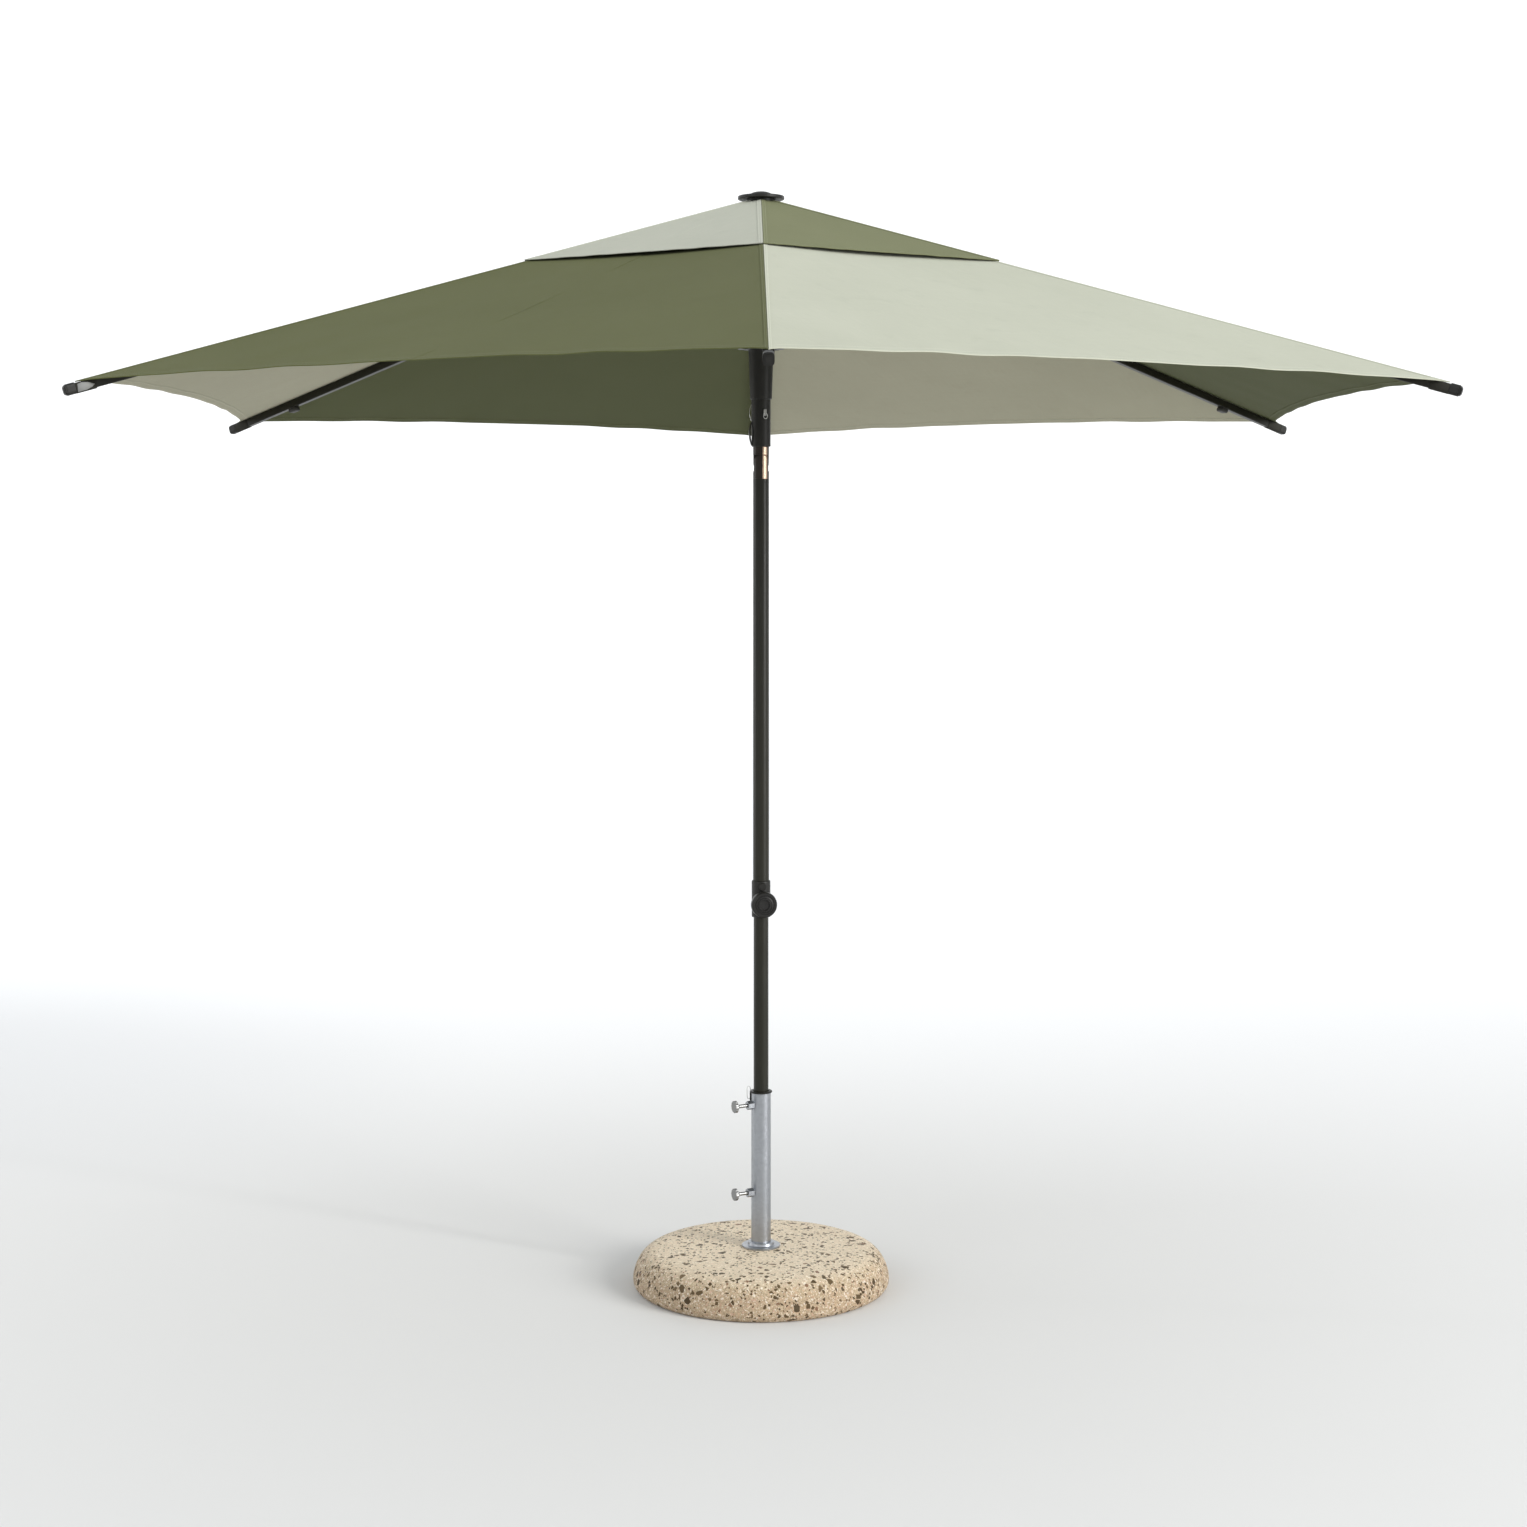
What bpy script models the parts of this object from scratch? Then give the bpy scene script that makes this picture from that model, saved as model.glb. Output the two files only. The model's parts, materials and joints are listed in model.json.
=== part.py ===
"""Centre-pole patio umbrella in a terrazzo foot. Metres, +Z up, origin at the middle of the foot's underside.

Rib 1 points along -Y and the ribs go round anticlockwise, seen from above.
"""

import math

import bmesh
import bpy
from mathutils import Matrix, Vector

MM = 0.001

# canopy
RIBS = 6
RIM = 1.484  # fabric corner to the pole's axis
APEX_Z = 2.3556  # where the fabric's ridge lines would meet
RISE = 0.3021  # drop of a ridge per metre outward
SCALLOP = 0.054  # how far the hem curves in at mid panel
CANOPY_IN = 0.300  # inner edge of the main tier, under the vent
VENT_RIM = 0.5636
VENT_IN = 0.036
VENT_LIFT = 7 * MM
CLOTH = 1.0 * MM
SEAM_GAP = 0.35 * MM

# ribs and struts
PIVOT_R = 40 * MM  # crown and runner pivots to the pole's axis
CROWN_Z = APEX_Z - 12.8 * MM - PIVOT_R * RISE
SLOPE = math.atan(RISE)
RIB_W, RIB_H, RIB_WALL = 16 * MM, 18 * MM, 1.5 * MM
RIB_START, RIB_END = 34 * MM, 1.5309
CAP_L, CAP_W, CAP_H, CAP_UP = 22 * MM, 19 * MM, 22 * MM, 0.5 * MM
FIT = 0.3 * MM  # gap between pieces that are fixed together
STRUT_L = 0.4355
STRUT_DROP = 21 * MM  # strut pivot below the rib's middle line
STRUT_W, STRUT_R = 12 * MM, 7 * MM
STRUT_TURN = math.asin(STRUT_DROP / STRUT_L)
LINE_TURN = SLOPE + STRUT_TURN  # crown pivot to strut pivot, below horizontal
RUNNER_Z = CROWN_Z - 2 * STRUT_L * math.sin(LINE_TURN)
PIN_R, EYE_R = 2.5 * MM, 3.0 * MM

# poles
POLE_R, POLE_BORE = 17.4 * MM, 16.5 * MM
LOWER_R, LOWER_BORE = 16.1 * MM, 14.6 * MM
LOWER_TOP = 1.300
POLE_FOOT = 45.3 * MM
COLLAR_Z, COLLAR_TOP, COLLAR_R = 0.7985, 0.8775, 20.3 * MM
KNOB_Z, KNOB_TURN = 0.829, -80.0
TILT_Z, TILT_R = 1.7818, 17.0 * MM
SLIDE_BORE = 18.0 * MM

# foot
TUBE_R, TUBE_BORE = 21.2 * MM, 18.7 * MM
TUBE_Z, TUBE_TOP = 45.5 * MM, 0.4176
SCREW_Z = (0.392, 0.203)
SCREW_TURN = 207.5
TONGUE_TURN = 165.0
FOOT_PROFILE = [
    (0.262, 0.0), (0.2665, 0.0012), (0.2712, 0.0042), (0.2746, 0.0088), (0.2764, 0.0135), (0.277, 0.0185),
    (0.2767, 0.0245), (0.2757, 0.0305), (0.274, 0.0368), (0.2717, 0.0435), (0.2685, 0.0505), (0.2645, 0.0575),
    (0.2595, 0.0640), (0.2535, 0.0697), (0.2465, 0.0742), (0.2380, 0.0774), (0.2270, 0.0797), (0.2120, 0.0812),
    (0.190, 0.0823), (0.150, 0.0832), (0.100, 0.0838), (0.0219, 0.0842),
]


def clear_scene():
    for ob in list(bpy.data.objects):
        bpy.data.objects.remove(ob, do_unlink=True)


def collection(name):
    made = bpy.data.collections.new(name)
    bpy.context.scene.collection.children.link(made)
    return made


def material(name, colour, rough, metal=0.0):
    mat = bpy.data.materials.new(name)
    mat.use_nodes = True
    shader = next(n for n in mat.node_tree.nodes if n.type == "BSDF_PRINCIPLED")
    shader.inputs["Base Color"].default_value = (*colour, 1.0)
    shader.inputs["Roughness"].default_value = rough
    shader.inputs["Metallic"].default_value = metal
    return mat


clear_scene()
PART = collection("Part")
TOOLS = collection("Cutters")
TERRAZZO = material("terrazzo", (0.62, 0.56, 0.47), 0.45)
ZINC = material("galvanised", (0.50, 0.52, 0.53), 0.42, 0.9)
FRAME = material("frame_paint", (0.045, 0.043, 0.036), 0.42)
PLASTIC = material("black_plastic", (0.028, 0.027, 0.025), 0.5)
COPPER = material("tilt_metal", (0.46, 0.36, 0.26), 0.35, 0.9)
STEEL = material("catch_steel", (0.62, 0.62, 0.60), 0.3, 1.0)
OLIVE = material("olive_cloth", (0.165, 0.185, 0.095), 0.9)
PALE = material("pale_cloth", (0.66, 0.68, 0.58), 0.9)


# ---- shapes, each as (points, faces)


def revolve(profile, steps=48):
    """A closed (radius, height) outline turned about Z."""
    points, rings = [], []
    for r, z in profile:
        if r == 0:
            rings.append([len(points)] * steps)
            points.append((0.0, 0.0, z))
        else:
            rings.append(list(range(len(points), len(points) + steps)))
            turn = 2 * math.pi / steps
            points += [(r * math.cos(k * turn), r * math.sin(k * turn), z) for k in range(steps)]
    faces = []
    for low, high in zip(rings, rings[1:] + rings[:1]):
        for k in range(steps):
            n = (k + 1) % steps
            face = list(dict.fromkeys((low[k], low[n], high[n], high[k])))
            if len(face) > 2:
                faces.append(face)
    return points, faces


def prism(outline, low, high, along="z"):
    """A flat outline pushed from low to high: (x, y) along z, (x, z) along y, or (y, z) along x."""
    place = {
        "x": lambda a, b, h: (h, a, b),
        "y": lambda a, b, h: (a, h, b),
        "z": lambda a, b, h: (a, b, h),
    }[along]
    n = len(outline)
    points = [place(a, b, h) for h in (low, high) for a, b in outline]
    faces = [list(range(n)), list(range(n, 2 * n))]
    faces += [(k, (k + 1) % n, n + (k + 1) % n, n + k) for k in range(n)]
    return points, faces


def box(x, y, z):
    return prism([(x[0], y[0]), (x[1], y[0]), (x[1], y[1]), (x[0], y[1])], z[0], z[1])


def cylinder(radius, low, high, steps=32):
    return revolve([(0, low), (radius, low), (radius, high), (0, high)], steps)


def round_box(w, h, r, up=0.0, per_corner=3):
    """A rounded rectangle outline, w across and h high, its middle raised by up."""
    out = []
    for cx, cy, start in ((1, 1, 0), (-1, 1, 90), (-1, -1, 180), (1, -1, 270)):
        for k in range(per_corner + 1):
            a = math.radians(start + 90 * k / per_corner)
            out.append((cx * (w / 2 - r) + r * math.cos(a), up + cy * (h / 2 - r) + r * math.sin(a)))
    return out


def arc(cx, cz, r, start, end, count):
    turns = [math.radians(start + (end - start) * k / count) for k in range(count + 1)]
    return [(cx + r * math.cos(a), cz + r * math.sin(a)) for a in turns]


# ---- placing


def upright(turn_deg, height=0.0):
    """Local X points outward at this turn round the pole."""
    return Matrix.Translation((0, 0, height)) @ Matrix.Rotation(math.radians(turn_deg), 4, "Z")


def outward(turn_deg, height):
    """Local Z points outward at this turn round the pole."""
    return upright(turn_deg, height) @ Matrix.Rotation(math.pi / 2, 4, "Y")


def rib_place(turn_deg):
    """Rib frame: origin at the crown pivot, X along the rib."""
    return upright(turn_deg, CROWN_Z) @ Matrix.Translation((PIVOT_R, 0, 0)) @ Matrix.Rotation(SLOPE, 4, "Y")


def make(name, shape, mat=None, place=None, home=None):
    mesh = bpy.data.meshes.new(name)
    mesh.from_pydata(shape[0], [], shape[1])
    shell = bmesh.new()
    shell.from_mesh(mesh)
    bmesh.ops.recalc_face_normals(shell, faces=shell.faces)
    shell.to_mesh(mesh)
    shell.free()
    if mat:
        mesh.materials.append(mat)
    ob = bpy.data.objects.new(name, mesh)
    (home or PART).objects.link(ob)
    if place is not None:
        ob.matrix_world = place
    return ob


def combine(ob, operation, shape, place=None):
    tool = make(f"{ob.name}_{operation.lower()}_{len(ob.modifiers)}", shape, None, place, TOOLS)
    tool.hide_render = True
    tool.display_type = "WIRE"
    step = ob.modifiers.new(operation.title(), "BOOLEAN")
    step.operation = operation
    step.solver = "EXACT"
    step.object = tool


def add(ob, shape, place=None):
    combine(ob, "UNION", shape, place)


def cut(ob, shape, place=None):
    combine(ob, "DIFFERENCE", shape, place)


def keep_inside(ob, shape, place=None):
    combine(ob, "INTERSECT", shape, place)


# ---- foot


def foot():
    make("terrazzo_base", revolve([(0, 0)] + FOOT_PROFILE + [(0.0219, 0.045), (0, 0.045)], 96), TERRAZZO)
    make(
        "base_flange",
        revolve([
            (0.0217, 0.0846), (0.0405, 0.0846), (0.0415, 0.0853), (0.0415, 0.0879), (0.0405, 0.0888),
            (0.0300, 0.0888), (0.0290, 0.0895), (0.0280, 0.0945), (0.0265, 0.0962), (0.0217, 0.0965),
        ]),
        ZINC,
    )
    tube = make(
        "base_tube",
        revolve([
            (TUBE_BORE, TUBE_Z), (TUBE_R, TUBE_Z), (TUBE_R, TUBE_TOP - 0.7 * MM),
            (TUBE_R - 0.7 * MM, TUBE_TOP), (TUBE_BORE, TUBE_TOP),
        ], 64),
        ZINC,
    )
    for height in SCREW_Z:
        place = outward(SCREW_TURN, height)
        nut = [(9.6 * MM * math.cos(a), 9.6 * MM * math.sin(a)) for a in [math.pi * k / 3 for k in range(6)]]
        add(tube, prism(nut, 20 * MM, 34 * MM), place)
    for height in SCREW_Z:
        cut(tube, cylinder(4.4 * MM, 12 * MM, 40 * MM, 24), outward(SCREW_TURN, height))

    collar = make(
        "reducer_collar",
        revolve([
            (0.0166, 0.3975), (0.0183, 0.3975), (0.0183, 0.4180), (0.0236, 0.4180), (0.0240, 0.4185),
            (0.0240, 0.4203), (0.0230, 0.4214), (0.0178, 0.4214), (0.0166, 0.4204),
        ]),
        PLASTIC,
    )
    add(collar, box((0.0217, 0.0238), (-0.006, 0.006), (0.384, 0.4195)), upright(TONGUE_TURN))


def thumb_screws():
    lobes, steps = 12, 72
    head = []
    for k in range(steps):
        a = 2 * math.pi * k / steps
        r = (12.6 + 0.5 * math.cos(lobes * a)) * MM
        head.append((r * math.cos(a), r * math.sin(a)))
    for name, height in zip(("upper_thumb_screw", "lower_thumb_screw"), SCREW_Z):
        place = outward(SCREW_TURN, height)
        screw = make(name, cylinder(3.9 * MM, 16.7 * MM, 62 * MM, 24), ZINC, place)
        add(screw, prism(head, 60.5 * MM, 66 * MM), place)
        add(screw, revolve([(0, 0.0555), (0.0060, 0.0555), (0.0075, 0.0610), (0, 0.0610)], 24), place)


# ---- poles


def poles():
    make(
        "pole_foot_plug",
        revolve([
            (0, POLE_FOOT), (0.0155, POLE_FOOT), (LOWER_R, POLE_FOOT + 0.6 * MM), (LOWER_R, 0.0500),
            (0.0143, 0.0500), (0.0143, 0.0780), (0, 0.0780),
        ]),
        PLASTIC,
    )
    make(
        "lower_pole",
        revolve([(LOWER_BORE, 0.0503), (LOWER_R, 0.0503), (LOWER_R, LOWER_TOP), (LOWER_BORE, LOWER_TOP)]),
        FRAME,
    )
    make(
        "upper_pole",
        revolve([(POLE_BORE, 0.8000), (POLE_R, 0.8000), (POLE_R, 1.7473), (POLE_BORE, 1.7473)]),
        FRAME,
    )
    collar = make(
        "height_collar",
        revolve([
            (0.0179, COLLAR_Z + 1 * MM), (0.0189, COLLAR_Z), (0.0197, COLLAR_Z), (COLLAR_R, COLLAR_Z + 0.7 * MM),
            (COLLAR_R, COLLAR_TOP - 4 * MM), (0.0200, COLLAR_TOP - 1.6 * MM), (0.0190, COLLAR_TOP - 0.3 * MM),
            (0.0179, COLLAR_TOP),
        ]),
        PLASTIC,
    )
    place = outward(KNOB_TURN, KNOB_Z)
    add(collar, cylinder(13 * MM, 18.9 * MM, 26 * MM), place)
    cut(collar, cylinder(5.8 * MM, 15 * MM, 30 * MM), place)
    add(collar, revolve([(0, 0.0186), (0.0085, 0.0186), (0.0085, 0.0226), (0.0075, 0.0236), (0, 0.0236)], 24),
        outward(KNOB_TURN, KNOB_Z + 36.5 * MM))
    make(
        "height_knob",
        revolve([
            (0, 0.0185), (0.0052, 0.0185), (0.0052, 0.0267), (0.0240, 0.0267), (0.0268, 0.0278), (0.0280, 0.0302),
            (0.0280, 0.0398), (0.0272, 0.0424), (0.0250, 0.0440), (0.0212, 0.0440), (0.0206, 0.0430),
            (0.0196, 0.0430), (0.0190, 0.0442), (0.0165, 0.0448), (0.0159, 0.0438), (0.0149, 0.0438),
            (0.0143, 0.0450), (0.0122, 0.0453), (0.0112, 0.0444), (0.0108, 0.0415), (0, 0.0410),
        ]),
        PLASTIC,
        place,
    )


def tilt_joint():
    floor = TILT_Z - 17.8 * MM
    cheek = [(-TILT_R, 1.7477), (TILT_R, 1.7477)] + arc(0, TILT_Z, TILT_R, 0, 180, 16)
    fork = make("tilt_fork", prism(cheek, -POLE_R, POLE_R, "y"), COPPER)
    add(fork, cylinder(POLE_R, 1.7477, floor, 48))
    keep_inside(fork, cylinder(POLE_R, 1.7400, 1.8100, 48))
    cut(fork, box((-0.03, 0.03), (-7.4 * MM, 7.4 * MM), (floor, 1.82)))
    add(fork, cylinder(16.1 * MM, 1.7120, 1.7500, 48))
    lying = Matrix.Translation((0, 0, TILT_Z)) @ Matrix.Rotation(math.pi / 2, 4, "X")
    add(fork, cylinder(4 * MM, -16.6 * MM, 16.6 * MM, 24), lying)

    outline = arc(0, TILT_Z, TILT_R, 180, 360, 16) + [(TILT_R, TILT_Z + 22 * MM), (-TILT_R, TILT_Z + 22 * MM)]
    tongue = make("tilt_tongue", prism(outline, -7 * MM, 7 * MM, "y"), COPPER)
    keep_inside(tongue, cylinder(POLE_R - 0.1 * MM, 1.7400, 1.8300, 48))
    add(tongue, cylinder(POLE_R, TILT_Z + 17.8 * MM, 1.8159, 48))
    add(tongue, cylinder(16.1 * MM, 1.8120, 1.8500, 48))
    cut(tongue, cylinder(4.4 * MM, -0.02, 0.02, 24), lying)


def mast():
    make(
        "mast_tube",
        revolve([(POLE_BORE, 1.8163), (POLE_R, 1.8163), (POLE_R, CROWN_Z + 1 * MM), (POLE_BORE, CROWN_Z + 1 * MM)]),
        FRAME,
    )
    z = CROWN_Z
    crown = make(
        "crown_hub",
        revolve([
            (0, z + 0.0100), (0.050, z + 0.0100), (0.056, z + 0.0060), (0.056, z - 0.0100), (0.053, z - 0.0130),
            (0.0250, z - 0.0130), (0.0235, z - 0.0160), (0.0235, z - 0.0520), (0.0225, z - 0.0530),
            (0.0179, z - 0.0530), (0.0179, z + 0.0015), (0, z + 0.0015),
        ]),
        PLASTIC,
    )
    turns = rib_turns()
    for turn in turns:
        cut(crown, box((0.032, 0.070), (-4.5 * MM, 4.5 * MM), (-0.030, 0.0082)), upright(turn, z))
    for turn in turns:
        pin = upright(turn, z) @ Matrix.Translation((PIVOT_R, 0, 0)) @ Matrix.Rotation(math.pi / 2, 4, "X")
        add(crown, cylinder(PIN_R, -7 * MM, 7 * MM, 16), pin)
    dome = arc(0, 2.3602, 0.0268, 0, 90, 8)[:-1]
    dome = [(r, 2.3602 + (h - 2.3602) * 0.40) for r, h in dome]
    make(
        "finial",
        revolve(
            [(0, 2.3411), (0.0300, 2.3411), (0.0300, 2.3533), (0.0495, 2.3533), (0.0504, 2.3541),
             (0.0504, 2.3594), (0.0495, 2.3602)] + dome + [(0, 2.3709)]
        ),
        PLASTIC,
    )


def runner():
    z = RUNNER_Z
    body = make(
        "runner",
        revolve([
            (SLIDE_BORE, 1.8175), (0.0200, 1.8175), (0.0208, 1.8183), (0.0208, 1.9195), (0.0228, 1.9200),
            (0.0235, 1.9212), (0.0270, z - 0.0180), (0.0276, z - 0.0115), (0.0500, z - 0.0100), (0.0520, z - 0.0080),
            (0.0520, z + 0.0080), (0.0500, z + 0.0100), (SLIDE_BORE, z + 0.0100),
        ]),
        PLASTIC,
    )
    for turn in rib_turns():
        cut(body, box((0.0315, 0.070), (-7 * MM, 7 * MM), (-0.030, 0.030)), upright(turn, z))
    place = outward(-68, 1.8905)
    cut(body, box((-8 * MM, 8 * MM), (-4.2 * MM, 4.2 * MM), (0.014, 0.030)), place)
    button = make("runner_catch", prism(round_box(14.6 * MM, 7.4 * MM, 2 * MM), 0.0206, 0.0238), STEEL, place)
    button.modifiers.new("Soften", "BEVEL").width = 0.5 * MM


# ---- ribs, struts and cloth


def rib_turns():
    return [-90 + 360 / RIBS * k for k in range(RIBS)]


def rib(number, turn):
    place = rib_place(turn)
    half = RIB_W / 2 - RIB_WALL
    bar = make(
        f"rib_{number}",
        prism(round_box(RIB_W, RIB_H, 2 * MM, per_corner=2), RIB_START, RIB_END - CAP_L - FIT, "x"),
        FRAME,
        place,
    )
    cut(bar, box((0.020, RIB_END), (-half, half), (-RIB_H / 2 + RIB_WALL, RIB_H / 2 - RIB_WALL)), place)
    nose = arc(0, 0, 7 * MM, 270, 90, 10)
    tongue = nose + [(0.022, 7 * MM), (0.036, 8.4 * MM), (0.062, 8.4 * MM), (0.062, -8.4 * MM), (0.036, -8.4 * MM),
                     (0.022, -7 * MM)]
    add(bar, prism(tongue, -4 * MM, 4 * MM, "y"), place)
    lying = place @ Matrix.Rotation(math.pi / 2, 4, "X")
    cut(bar, cylinder(EYE_R, -0.01, 0.01, 16), lying)
    x, low = STRUT_L * math.cos(STRUT_TURN), -STRUT_DROP
    ear = [(x + 15 * MM, 5 * MM), (x - 15 * MM, 5 * MM)] + arc(x, low, 7.5 * MM, 180, 360, 8)
    for side in (-1, 1):
        y = sorted((side * 6.5 * MM, side * 9.0 * MM))
        add(bar, prism(ear, y[0], y[1], "y"), place)
    pin = place @ Matrix.Translation((x, 0, low)) @ Matrix.Rotation(math.pi / 2, 4, "X")
    add(bar, cylinder(PIN_R, -8 * MM, 8 * MM, 16), pin)
    for side in (-1, 1):
        ends = sorted((side * 7.5 * MM, side * 10.2 * MM))
        add(bar, cylinder(4 * MM, ends[0], ends[1], 16), pin)


def rib_cap(number, turn):
    """A moulded cap whose plug sits in the open end of the rib."""
    place = rib_place(turn)
    cap = make(
        f"rib_cap_{number}",
        prism(round_box(CAP_W, CAP_H, 6 * MM, CAP_UP), RIB_END - CAP_L, RIB_END - 6 * MM, "x"),
        PLASTIC,
        place,
    )
    for less, low, high in ((2.4, 7.0, 3.2), (6.0, 4.2, 1.2), (10.6, 2.2, 0.0)):
        nose = round_box(CAP_W - less * MM, CAP_H - less * MM, (6 - less / 2.6) * MM, CAP_UP)
        add(cap, prism(nose, RIB_END - low * MM, RIB_END - high * MM, "x"), place)
    wide, high = (size - 2 * (RIB_WALL + FIT) for size in (RIB_W, RIB_H))
    add(cap, prism(round_box(wide, high, 1 * MM, per_corner=1), RIB_END - 2 * CAP_L, RIB_END - 15 * MM, "x"), place)


def strut(number, turn):
    """Hangs from its rib bracket and reaches in to the runner, at the mirror of the pivots' line."""
    place = (
        rib_place(turn)
        @ Matrix.Translation((STRUT_L * math.cos(STRUT_TURN), 0, -STRUT_DROP))
        @ Matrix.Rotation(math.pi - 2 * LINE_TURN + STRUT_TURN, 4, "Y")
    )
    outline = arc(0, 0, STRUT_R, 90, 270, 10) + arc(STRUT_L, 0, STRUT_R, -90, 90, 10)
    bar = make(f"strut_{number}", prism(outline, -STRUT_W / 2, STRUT_W / 2, "y"), FRAME, place)
    cut(bar, cylinder(EYE_R, -0.01, 0.01, 16), place @ Matrix.Rotation(math.pi / 2, 4, "X"))
    end = place @ Matrix.Translation((STRUT_L, 0, 0)) @ Matrix.Rotation(math.pi / 2, 4, "X")
    add(bar, cylinder(3.6 * MM, -6.6 * MM, 6.6 * MM, 16), end)


def half_panel(name, turn, side, inner, outer, lift, scallop, mat):
    """Half a flat panel, from its ridge over a rib to the panel's middle. Drawn with the middle along local X."""
    place = upright(turn + side * 180 / RIBS)
    half = math.pi / RIBS
    fall = RISE / math.cos(half)
    chord = outer * math.sin(half)

    def ridge(distance):
        """The panel's edge on the rib, held off the ridge by half the seam's gap."""
        x = distance * math.cos(half)
        return x, x * math.tan(half) - SEAM_GAP / math.cos(half)

    steps = 12 if scallop else 1
    plan = [(inner * math.cos(half), SEAM_GAP), ridge(inner)]
    for k in range(steps + 1):
        across = ridge(outer)[1] + (SEAM_GAP - ridge(outer)[1]) * k / steps
        dip = scallop * (1 - (across / chord) ** 2)
        x = outer * math.cos(half) - dip
        if k == 0:
            x = ridge(outer)[0]
        plan.append((x, across))
    down = Vector((fall, 0, 1)).normalized() * CLOTH
    top = [Vector((x, -side * y, APEX_Z + lift - fall * x)) for x, y in plan]
    n = len(top)
    points = [tuple(p) for p in top] + [tuple(p - down) for p in top]
    faces = [list(range(n)), list(range(n, 2 * n))]
    faces += [(k, (k + 1) % n, n + (k + 1) % n, n + k) for k in range(n)]
    make(name, (points, faces), mat, place)


def canopy():
    for k, turn in enumerate(rib_turns()):
        number = k + 1
        rib(number, turn)
        rib_cap(number, turn)
        strut(number, turn)
        for letter, side, pale in (("a", -1, k % 2 == 1), ("b", 1, k % 2 == 0)):
            half_panel(
                f"canopy_{number}{letter}", turn, side, CANOPY_IN, RIM, 0.0, SCALLOP, PALE if pale else OLIVE
            )
            half_panel(
                f"vent_{number}{letter}", turn, side, VENT_IN, VENT_RIM, VENT_LIFT, 0.0, OLIVE if pale else PALE
            )


foot()
thumb_screws()
poles()
tilt_joint()
mast()
runner()
canopy()
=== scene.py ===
"""Looks for the patio umbrella: camera, light, materials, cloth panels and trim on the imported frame.

Lengths are in metres. Rib k points at rib_turn(k), and its own frame is rib_frame(k), with X along the rib.
"""

import json
import math

import bmesh
import bpy
from mathutils import Matrix, Vector, noise

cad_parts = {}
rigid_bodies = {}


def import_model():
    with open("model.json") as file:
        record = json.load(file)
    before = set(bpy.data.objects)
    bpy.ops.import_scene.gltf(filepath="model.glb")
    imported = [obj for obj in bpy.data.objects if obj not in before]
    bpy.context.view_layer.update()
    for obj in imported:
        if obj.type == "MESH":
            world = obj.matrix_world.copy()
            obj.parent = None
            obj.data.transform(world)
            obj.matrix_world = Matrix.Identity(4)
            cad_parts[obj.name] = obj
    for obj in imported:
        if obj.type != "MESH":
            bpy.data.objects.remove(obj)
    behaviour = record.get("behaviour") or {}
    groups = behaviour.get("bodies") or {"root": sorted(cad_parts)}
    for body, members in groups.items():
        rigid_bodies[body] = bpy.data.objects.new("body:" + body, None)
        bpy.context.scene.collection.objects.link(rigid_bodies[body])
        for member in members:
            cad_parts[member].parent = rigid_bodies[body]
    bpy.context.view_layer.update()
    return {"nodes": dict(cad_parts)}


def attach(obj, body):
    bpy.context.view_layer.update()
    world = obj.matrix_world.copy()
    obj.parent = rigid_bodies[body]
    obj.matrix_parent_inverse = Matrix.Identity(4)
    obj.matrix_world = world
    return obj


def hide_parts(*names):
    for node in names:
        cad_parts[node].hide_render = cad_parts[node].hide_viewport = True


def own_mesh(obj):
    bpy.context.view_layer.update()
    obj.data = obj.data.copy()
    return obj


for ob in list(bpy.data.objects):
    bpy.data.objects.remove(ob, do_unlink=True)
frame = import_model()
NODES = frame["nodes"]

MM = 0.001
RIBS = 6
HALF = math.pi / RIBS  # half the angle between two ribs

# Canopy: radii are measured along a rib in plan, and heights along Z.
RIM, CANOPY_IN = 1.484, 0.300
VENT_RIM, VENT_IN = 0.5636, 0.036
VENT_SHOWN = 3.6 * MM  # the vent tier's height over the main canopy, which is less than in the CAD
APEX_Z = 2.3556
RISE = 0.3021  # slope of a ridge
FALL = RISE / math.cos(HALF)  # slope of a panel's middle
SCALLOP = 0.054  # how far the hem's middle curves in
HEM_NOTCH, NOTCH_LENGTH = 0.011, 0.014  # the hem's short step in beside a rib
HALF_GAP = 0.3 * MM  # half the gap between two cloth halves
MAIN_SAG, VENT_SAG = 0.007, 0.0010
RIPPLE = 0.0012
UV_SLOPE = 1.06  # length along the cloth for each metre in plan

# Ribs
PIVOT_R, PIVOT_DROP = 0.040, 0.0128  # the hinge's radius, and its depth under the cloth
CROWN_Z = APEX_Z - PIVOT_DROP - PIVOT_R * RISE
RIB_SLOPE = math.atan(RISE)
RIB_END = 1.5309  # from the hinge, along the rib
CLIP_AT = 0.865 * RIB_END
PATCHED_RIB = 5

# Sewing
HEM_WIDTH, SEAM_WIDTH = 20 * MM, 11 * MM
HEM_STITCHES, SEAM_STITCHES = (0.0035, 0.0165), (0.0028, 0.0085)
THREAD_PITCH = 0.0011
STITCH_PITCH, STITCH_HALF = 0.0058, 0.00062


# ---- camera


def look():
    scene = bpy.context.scene
    turn, distance, height = math.radians(-0.45), 5.356, 1.589
    cam = bpy.data.objects.new("camera", bpy.data.cameras.new("camera"))
    scene.collection.objects.link(cam)
    cam.location = (distance * math.sin(turn), -distance * math.cos(turn), height)
    cam.rotation_euler = (math.pi / 2, 0, turn)
    cam.data.sensor_width = 36
    cam.data.lens = 58.22
    cam.data.shift_x = 0.0016
    cam.data.shift_y = -0.1385
    cam.data.clip_end = 60
    scene.camera = cam
    scene.render.resolution_x = scene.render.resolution_y = 1024
    scene.render.engine = "CYCLES"
    scene.cycles.samples = 160
    scene.cycles.use_denoising = True
    scene.view_settings.view_transform = "Standard"


# ---- node helpers


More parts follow.
